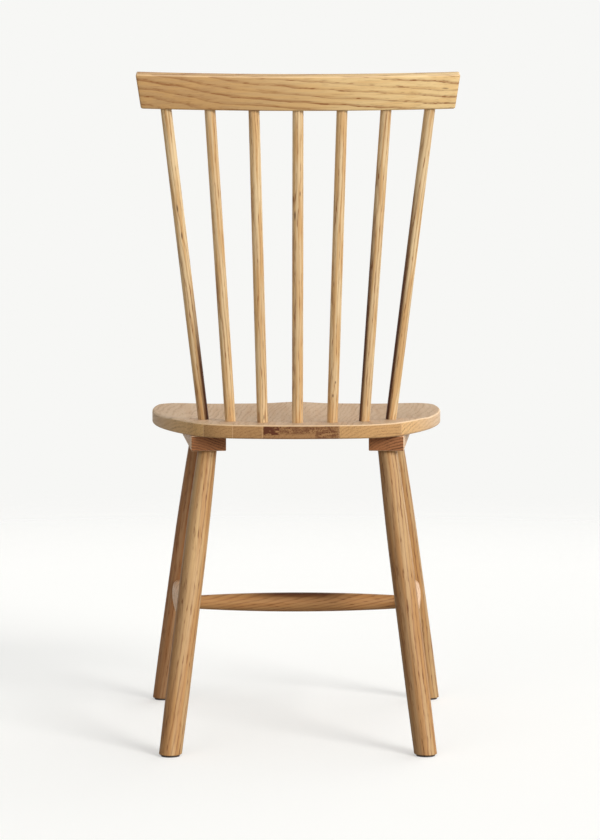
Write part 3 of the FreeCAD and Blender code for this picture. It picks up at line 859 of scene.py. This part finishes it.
def groove_share(recipe, upward):
    """Painted shade: a soft dark line along the crisp edge of the seat's hollow, where the slope just ahead
    lies in shade.
    """
    ahead = recipe.node("ShaderNodeAttribute", {"attribute_name": "ahead_of_gutter"}, [], output="Fac")
    return ahead.close_to(1.5, 1.5, 5.5) * upward.between(0.5, 0.9)


# %% Mix the oak
def oak(name, grain, pale, dark, heart=(-60.0, -70.0), lean=(0.0, 0.0), ring=4.5, wander=5.0, seed=0,
        line=0.75, deep=0.35, streak=0.35, streak_size=(4.5, 70.0), pore=1.0, painted_side_shade=(0.0, 1.0, 0.0),
        end_colour=(120, 80, 50), end_deep=(72, 48, 30), end_from=(0.55, 0.95), end_line=0.6, wear_and_highlight=0.0,
        groove_shade=0.0, spots=(), painted_shade=(), stains=(), stave_plan=(), sheen=0.5):
    """Oak for one piece, from pale wood and dark lines, with its marks and its painted light and shade.

    heart and lean place the trunk's heart in the grain frame, ring is a year's width, and
    wander is how far the rings stray. line, deep, streak and pore are strengths. fade is painted
    shade along the grain: where the wood is painted darkest, where palest and by how much. What
    starts with end_ is for wood cut across. worn is how strongly the upper edges are painted
    pale, as wear and a painted highlight, groove how dark the painted shade along the hollow's
    edge is, and sheen the roughness that the pores and fibres add to.
    """
    recipe = Recipe(bpy.data.materials.new(name))
    along = grain.to_3x3() @ Vector((0.0, 0.0, 1.0))
    point = recipe.node("ShaderNodeAttribute", {"attribute_name": "grain_place"}, [], output="Vector")
    facing = recipe.node("ShaderNodeNewGeometry", {}, [], output="Normal")
    moved = recipe.vector("ADD", point, SEED_STEP * seed)
    x, y, z = recipe.axes(point)
    shift, tone, glue = staves(recipe, x, stave_plan)

    # The distance from the heart of the trunk, counted in years.
    warp = recipe.noise(moved, WARP_SIZE, output="Color")
    small_warp = recipe.noise(moved, SMALL_WARP_SIZE, output="Color")
    wide_x, wide_y, _ = recipe.axes(warp)
    fine_x, fine_y, _ = recipe.axes(small_warp)
    spot_pull, spot_mask = spotted(recipe, point, small_warp, spots)
    across = x - heart[0] - shift - z * lean[0] + (wide_x - 0.5) * (wander * 4.0) + (fine_x - 0.5) * wander
    inward = y - heart[1] - z * lean[1] + (wide_y - 0.5) * (wander * 4.0) + (fine_y - 0.5) * wander
    years = ((across * across + inward * inward).root() + spot_pull) / ring
    year = years.part()
    season = recipe.node("ShaderNodeTexWhiteNoise", {"noise_dimensions": "1D"}, {"W": years.whole()})

    # Growth rings, pores, fibres and streaks, all from 0 to 1.
    band = (1.0 - year.between(0.0, 0.5)) + year.between(0.9, 1.0)
    patches = recipe.noise(moved, PATCH_SIZE)
    rings = band * (season * 0.55 + 0.45) * (patches.between(0.3, 0.65) * 0.6 + 0.4) * line
    pores = recipe.noise(moved, PORE_SIZE, detail=1.0).between(0.55, 0.68)
    fibres = recipe.noise(moved, FIBRE_SIZE, detail=3.0, roughness=0.6)
    streak_wide, streak_long = streak_size
    streaks = recipe.noise(moved, (streak_wide, streak_wide, streak_long), detail=1.0).between(0.42, 0.62)
    cloud = recipe.noise(moved, CLOUD_SIZE, detail=1.0)

    # Wood cut lengthways.
    half_way = [(a + b) / 2.0 for a, b in zip(pale, dark)]
    warm = (pale[0] * 0.89, pale[1] * 0.79, pale[2] * 0.66)
    # Random cloudy tone, painted shade that darkens the piece towards one end, and the stave's tone.
    tone_and_side_shade = cloud.between(0.35, 0.65) * deep + z.between(painted_side_shade[1], painted_side_shade[0]) * painted_side_shade[2] + tone * 0.35
    body = recipe.mixed(tone_and_side_shade.lower(1.0), colour(*pale), colour(*half_way))
    body = recipe.mixed(streaks * streak, body, colour(*warm))
    stroke = rings * 0.8 + (pores * (band * 0.45 + 0.16) + (fibres - 0.5) * 0.65) * pore
    long_grain = recipe.mixed(stroke.higher(0.0).lower(1.0), body, colour(*dark))

    # Wood cut across, with glue lines and stains.
    endways = recipe.vector("DOT_PRODUCT", facing, along, output="Value")
    upward = recipe.axes(facing)[2]
    end = endways.size().between(*end_from) * (1.0 - upward.between(0.35, 0.75))
    end_body = recipe.mixed(tone, colour(*end_colour), colour(*end_deep))
    end_stroke = (rings * end_line + pores * 0.3 + (fibres - 0.5) * 0.6).higher(0.0).lower(1.0)
    end_wood = recipe.mixed(end_stroke, end_body, colour(*[level * 0.7 for level in end_deep]))
    end_wood = recipe.mixed(glue * 0.3, end_wood, GLUE_PALE)
    end_wood = recipe.mixed(stain_share(recipe, moved, point, pores, stains), end_wood, STAIN_BROWN)

    # Painted shade on chosen sides and spots, upper edges rubbed and painted pale as a highlight, knots,
    # checks and painted shade along the hollow's edge.
    wood = recipe.mixed(end, long_grain, end_wood)
    wood = recipe.mixed(heart_share(recipe, x, z, painted_shade, fibres), wood, PAINTED_SHADE_BROWN)
    # Painted highlight with wear: upper eased edges, which face partly up, are painted pale.
    wear_and_highlight_edge = upward.between(0.25, 0.5) * (1.0 - upward.between(0.85, 0.98)) * wear_and_highlight
    wood = recipe.mixed(wear_and_highlight_edge, wood, WEAR_AND_HIGHLIGHT_PALE)
    # Knots and checks are the wood's own marks; the line along the hollow's edge is painted shade.
    knots_and_groove_shade = spot_mask.higher(groove_share(recipe, upward) * groove_shade) if groove_shade else spot_mask
    wood = recipe.mixed(knots_and_groove_shade.lower(1.0), wood, KNOT_AND_SHADE_BROWN)

    height = fibres * 0.3 - pores * 0.5 - rings * 0.15
    bump = recipe.node("ShaderNodeBump", {}, {"Strength": 0.25, "Distance": 0.0004, "Height": height})
    rough = sheen + pores * 0.18 + (fibres - 0.5) * 0.1 + end * 0.15
    return recipe.finish(Base_Color=wood, Roughness=rough, Normal=bump, Specular_IOR_Level=0.2)


# %% [markdown]
# ## A board for each piece
# No two pieces of a real chair come off the same spot of the tree, so each has its own
# heart, lean and seed. The rail's rings run down to the right, with two small checks; painted
# shade darkens its left and its right end is paler, and its ends are painted pale as a
# highlight. Some spindles have small knots, and painted shade darkens one side of spindles
# 1, 6 and 7 near the seat. Painted shade also darkens the left of the rear legs, the whole
# front left leg and the top middle of the cross stretcher, and the side stretchers are
# painted pale as a highlight. The seat is seven staves glued side by side, and the rear end
# of one of them is stained.

# %% Paint the rail and the spindles
GOLDEN_OAK = (231, 202, 147)
SPINDLE_OAK = (222, 195, 151)
BROWN_LINE = (138, 90, 50)
# Painted highlight: the rail's ends are painted pale, as ends that catch the light.
HIGHLIT_CREST_END = (204, 166, 116)
CREST_DEEP_END = (150, 104, 62)


def paint(piece, material):
    piece.data.materials.clear()
    piece.data.materials.append(material)


small_checks = [(29.0, -1.0, 196.0, 1.2, 8.0), (19.0, -1.0, 199.0, 0.8, 5.0)]
# Painted shade: the rail is painted darker towards its left end and paler towards its right.
paint(crest, oak("crest_oak", crest_grain, GOLDEN_OAK, BROWN_LINE, heart=(-95.0, -62.0), lean=(-0.085, 0.0),
                 ring=8.5, wander=6.0, seed=3, line=1.05, deep=0.3, streak=0.3, painted_side_shade=(-230.0, 250.0, 0.8),
                 end_colour=HIGHLIT_CREST_END, end_deep=CREST_DEEP_END, wear_and_highlight=0.45, spots=small_checks))

spindle_spots = {
    "spindle_1": [(1.5, -7.4, 282.0, 1.7, 5.0), (-0.5, -7.4, 322.0, 1.5, 5.0)],
    "spindle_3": [(2.0, -7.2, 10.0, 1.5, 4.0)],
    "spindle_4": [(-3.5, -6.6, 300.0, 2.0, 5.0), (2.5, -7.0, 330.0, 1.4, 4.0)],
    "spindle_5": [(-0.5, -7.4, 42.0, 1.7, 2.0), (2.0, -7.2, 62.0, 1.3, 2.5)],
}
# Painted shade: a dark band on the right of spindle 1 and on the left of spindles 6 and 7, darkest near the
# seat, where they lie in shade.
spindle_painted_shade = {
    "spindle_1": [(0.5, 6.0, 0.0, 230.0, 1.05)],
    "spindle_6": [(-1.0, -7.4, 0.0, 430.0, 1.1)],
    "spindle_7": [(-0.5, -6.8, 0.0, 480.0, 1.15)],
}
for number, (node, (spindle, grain)) in enumerate(spindles.items(), start=1):
    paint(spindle, oak(node + "_oak", grain, SPINDLE_OAK, BROWN_LINE, heart=(-18.0 - 3.0 * number, -26.0),
                       lean=(0.01 * (number - 4), 0.0), ring=4.2, wander=3.0, seed=10 + number, line=0.85,
                       streak=0.75, streak_size=(4.0, 90.0), spots=spindle_spots.get(node, ()),
                       painted_shade=spindle_painted_shade.get(node, ())))
print("spindles painted:", len(spindles))

# %% Paint the legs, stretchers and battens
LEG_OAK = (190, 156, 110)
# Painted shade: the front left leg's wood is painted darker, as a leg in the shade of the others.
SHADED_LEG_OAK = (164, 124, 86)
STRETCHER_OAK = (176, 132, 84)
DARK_LINE = (112, 70, 40)
# Painted highlight: the side stretchers are painted paler, for the light that their ends catch.
HIGHLIT_STRETCHER_OAK = (216, 178, 138)
HIGHLIT_STRETCHER_LINE = (150, 106, 68)
BATTEN_OAK = (220, 190, 156)
BATTEN_END = (150, 98, 60)
BATTEN_DEEP_END = (84, 50, 30)

# Painted shade: a darker band down the left side of each rear leg.
leg_painted_shade = {
    "leg_rear_left": [(0.0, -8.0, 200.0, 700.0, 0.3)],
    "leg_rear_right": [(3.0, -7.0, 200.0, 700.0, 0.4)],
}
# Painted shadow: the seat's shadow, as a dark patch on the top middle of the cross stretcher.
cross_board = {"pale": STRETCHER_OAK, "dark": DARK_LINE, "lean": (0.2, 0.02), "line": 0.9,
               "painted_shade": [(2.0, 14.0, 168.0, 100.0, 1.0)]}
highlit_side_board = {"pale": HIGHLIT_STRETCHER_OAK, "dark": HIGHLIT_STRETCHER_LINE, "lean": (0.04, 0.02), "line": 0.7}
for number, (node, (leg, grain)) in enumerate(legs.items(), start=1):
    # The front left leg takes the colour painted darker as shade.
    pale = SHADED_LEG_OAK if node == "leg_front_left" else LEG_OAK
    paint(leg, oak(node + "_oak", grain, pale, DARK_LINE, heart=(-30.0, -34.0 + 4.0 * number),
                   lean=(0.02, 0.01), ring=5.5, wander=4.0, seed=20 + number, line=0.75, pore=1.3,
                   streak=0.8, streak_size=(9.0, 260.0), painted_shade=leg_painted_shade.get(node, ())))
for number, (node, (stretcher, grain)) in enumerate(stretchers.items(), start=1):
    board = cross_board if node == "cross_stretcher" else highlit_side_board
    paint(stretcher, oak(node + "_oak", grain, heart=(-150.0, -10.0), ring=5.0, wander=3.0,
                         seed=30 + number, **board))
for number, (node, (batten, grain)) in enumerate(battens.items(), start=1):
    side = SIDES[node.split("_")[-1]]
    paint(batten, oak(node + "_oak", grain, BATTEN_OAK, BROWN_LINE, heart=(side * 38.0, 100.0),
                      lean=(0.03, 0.0), ring=3.8, wander=4.0, seed=40 + number, end_colour=BATTEN_END,
                      end_deep=BATTEN_DEEP_END, end_line=1.5))
print("legs, stretchers and battens painted:", len(legs) + len(stretchers) + len(battens))

# %% Paint the seat
SEAT_OAK = (200, 172, 140)
SEAT_LINE = (138, 98, 66)
SEAT_END = (210, 168, 112)
SEAT_DEEP_END = (110, 66, 38)

stave_plan = [
    (-212.0, -150.0, 0.0), (-155.0, -95.0, 0.1), (-131.0, -60.0, 0.48), (-90.0, -20.0, 0.58),
    (-49.0, 60.0, 0.68), (57.0, 150.0, 0.38), (145.0, 230.0, 0.05),
]
seat_stains = [
    (-47.0, -26.0, -17.0, -6.0, 3.0, 0.0), (-26.0, 24.0, -19.0, -7.0, 0.6, 0.9),
    (24.0, 57.0, -19.0, -1.0, 0.7, 1.2),
]
# The seat's upper edges are painted pale as a highlight with wear, and a dark line along its hollow's edge
# is painted shade.
paint(seat, oak("seat_oak", seat_grain, SEAT_OAK, SEAT_LINE, heart=(0.0, 80.0), lean=(0.08, 0.0), ring=4.6,
                wander=5.0, seed=50, line=0.55, deep=0.2, streak=0.25, streak_size=(9.0, 200.0), pore=0.4,
                end_colour=SEAT_END, end_deep=SEAT_DEEP_END, end_from=(0.1, 0.6), end_line=0.7, wear_and_highlight=0.45,
                groove_shade=0.45, stave_plan=stave_plan, stains=seat_stains, sheen=0.6))
print("materials so far:", len(bpy.data.materials))

# %% [markdown]
# ## Screws and glides
# The screws sit in their holes under the battens and the glides under the feet. Their CAD
# meshes are right, so they only take a finish: rubbed zinc and a dull dark plastic.

# %% Finish the screws and glides
ZINC_PALE = colour(196, 192, 182)
ZINC_DARK = colour(160, 156, 146)
PLASTIC_DARK = colour(52, 44, 38)
PLASTIC_PALE = colour(78, 68, 60)
BLOTCH_SIZE = 3.0
SPECKLE_SIZE = 0.8


def even_noise(recipe, size, detail):
    """Noise on a CAD mesh, whose grains are as long as they are wide, with its size in millimetres."""
    place = recipe.node("ShaderNodeTexCoord", {}, [], output="Object")
    return recipe.noise(place, [size * MM] * 3, detail=detail)


def zinc():
    recipe = Recipe(bpy.data.materials.new("zinc_plate"))
    blotches = even_noise(recipe, BLOTCH_SIZE, 3.0)
    tone = recipe.mixed(blotches, ZINC_PALE, ZINC_DARK)
    return recipe.finish(Base_Color=tone, Metallic=1.0, Roughness=0.28 + blotches * 0.2)


def dull_plastic():
    recipe = Recipe(bpy.data.materials.new("glide_plastic"))
    speckle = even_noise(recipe, SPECKLE_SIZE, 2.0)
    tone = recipe.mixed(speckle, PLASTIC_DARK, PLASTIC_PALE)
    bump = recipe.node("ShaderNodeBump", {}, {"Strength": 0.3, "Distance": 0.0002, "Height": speckle})
    return recipe.finish(Base_Color=tone, Roughness=0.55 + speckle * 0.2, Normal=bump)


finishes = {"batten_screws": zinc(), "foot_glide": dull_plastic()}
finished = []
for kind, material in finishes.items():
    for node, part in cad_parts.items():
        if node.startswith(kind):
            paint(part, material)
            finished.append(node)
print("screws and glides finished:", len(finished))

# %% [markdown]
# ## Floor and light
# The chair stands in a pale studio. A broad, soft sun from the right and a little behind
# the camera gives the bright right sides, and a sky that darkens to the left gives the
# round pieces their shaded edges. One soft fill from the left of the camera and one from
# the chair's front keep the shade readable. The camera sees a pale floor with a faint
# glow in it, which keeps the shadow faint, while every other ray meets a greyer floor,
# which throws little light up from below. The floor fades out before its edge, so no
# line shows against the backdrop, and from below it is clear, so the underside shows.

# %% Floor
BACKDROP = colour(247, 247, 245)
FLOOR_GREY = colour(170, 169, 167)
FLOOR_PALE = colour(228, 228, 226)
FLOOR_RADIUS = 3.2
FLOOR_FADE_START = 0.55
FLOOR_GLOW = 0.2
FLOOR_GLOW_STRENGTH = 1.9

floor_mesh = bpy.data.meshes.new("studio_floor")
disc = bmesh.new()
bmesh.ops.create_circle(disc, cap_ends=True, segments=96, radius=FLOOR_RADIUS)
disc.to_mesh(floor_mesh)
disc.free()
floor = bpy.data.objects.new("studio_floor", floor_mesh)
bpy.context.scene.collection.objects.link(floor)

ground = Recipe(bpy.data.materials.new("studio_floor"))
spot = ground.node("ShaderNodeTexCoord", {}, [], output="Object")
reach = ground.vector("LENGTH", spot, output="Value")
to_camera = ground.node("ShaderNodeLightPath", {}, [], output="Is Camera Ray")
from_below = ground.node("ShaderNodeNewGeometry", {}, [], output="Backfacing")
near = 1.0 - reach.between(FLOOR_FADE_START * FLOOR_RADIUS, FLOOR_RADIUS)
matt = Value(ground, ground.shader.outputs[0])
glow = ground.node("ShaderNodeEmission", {}, {"Color": BACKDROP, "Strength": FLOOR_GLOW_STRENGTH})
clear = ground.node("ShaderNodeBsdfTransparent", {}, [])
lit = ground.chosen(to_camera * FLOOR_GLOW, matt, glow)
faded = ground.chosen(near * (1.0 - from_below * to_camera), clear, lit)
ground.fill(ground.tree.nodes["Material Output"].inputs["Surface"], faded)
paint(floor, ground.finish(Base_Color=ground.mixed(to_camera, FLOOR_GREY, FLOOR_PALE), Roughness=0.9))
print("floor radius in metres:", FLOOR_RADIUS)

# %% Sky and sun
SUN_FROM = Vector((0.62, -0.74, 0.42))
SUN_STRENGTH = 2.5
SUN_ANGLE = 24.0
FILL_FROM = Vector((-0.5, -0.83, 0.3))
FILL_STRENGTH = 0.6
FILL_ANGLE = 40.0
FRONT_FROM = Vector((0.55, 0.75, 0.36))
FRONT_STRENGTH = 0.7
FRONT_ANGLE = 50.0
LAMP_COLOUR = (1.0, 0.99, 0.97)
SKY_WHITE = (1.0, 1.0, 1.0, 1.0)
SKY_LEFT = 0.08
SKY_RIGHT = 1.0

world = bpy.data.worlds.new("studio")
bpy.context.scene.world = world
air = Recipe(world)
air.tree.nodes.clear()
direction = air.node("ShaderNodeTexCoord", {}, [], output="Generated")
sky_range = {"Value": air.axes(direction)[0], "From Min": -1.0, "To Min": SKY_LEFT, "To Max": SKY_RIGHT}
side_light = air.node("ShaderNodeMapRange", {}, sky_range)
sky = air.node("ShaderNodeBackground", {}, {"Color": SKY_WHITE, "Strength": side_light})
backdrop = air.node("ShaderNodeBackground", {}, {"Color": BACKDROP})
seen = air.node("ShaderNodeLightPath", {}, [], output="Is Camera Ray")
for ray in ("Is Glossy Ray", "Is Transmission Ray"):
    seen = seen.higher(air.node("ShaderNodeLightPath", {}, [], output=ray))
output = air.tree.nodes.new("ShaderNodeOutputWorld")
air.fill(output.inputs["Surface"], air.chosen(seen, sky, backdrop))


def add_sun(name, come_from, strength, angle):
    lamp = bpy.data.lights.new(name, "SUN")
    lamp.energy = strength
    lamp.angle = math.radians(angle)
    lamp.color = LAMP_COLOUR
    holder = bpy.data.objects.new(name, lamp)
    holder.rotation_euler = come_from.to_track_quat("Z", "Y").to_euler()
    bpy.context.scene.collection.objects.link(holder)


add_sun("soft_sun", SUN_FROM, SUN_STRENGTH, SUN_ANGLE)
add_sun("soft_fill", FILL_FROM, FILL_STRENGTH, FILL_ANGLE)
add_sun("front_fill", FRONT_FROM, FRONT_STRENGTH, FRONT_ANGLE)
print("lamps:", len(bpy.data.lights))

# %% [markdown]
# ## Camera
# The photograph was taken from behind, a little above the seat, with a long lens. The
# camera's place and direction were worked out from the chair's known sizes.

# %% Camera
CAMERA_PLACE = Vector((-30.3, -4499.9, 822.0)) * MM
CAMERA_LOOK = Vector((0.0077, 0.9965, -0.0839))
CAMERA_SENSOR = 36.0
CAMERA_LENS = 134.96

camera = bpy.data.cameras.new("photo_camera")
camera.sensor_fit = "VERTICAL"
camera.sensor_height = CAMERA_SENSOR
camera.lens = CAMERA_LENS
camera.clip_end = 100.0
camera_object = bpy.data.objects.new("photo_camera", camera)
camera_object.location = CAMERA_PLACE
camera_object.rotation_euler = CAMERA_LOOK.to_track_quat("-Z", "Y").to_euler()
bpy.context.scene.collection.objects.link(camera_object)
bpy.context.scene.camera = camera_object
bpy.context.scene.view_settings.view_transform = "Standard"
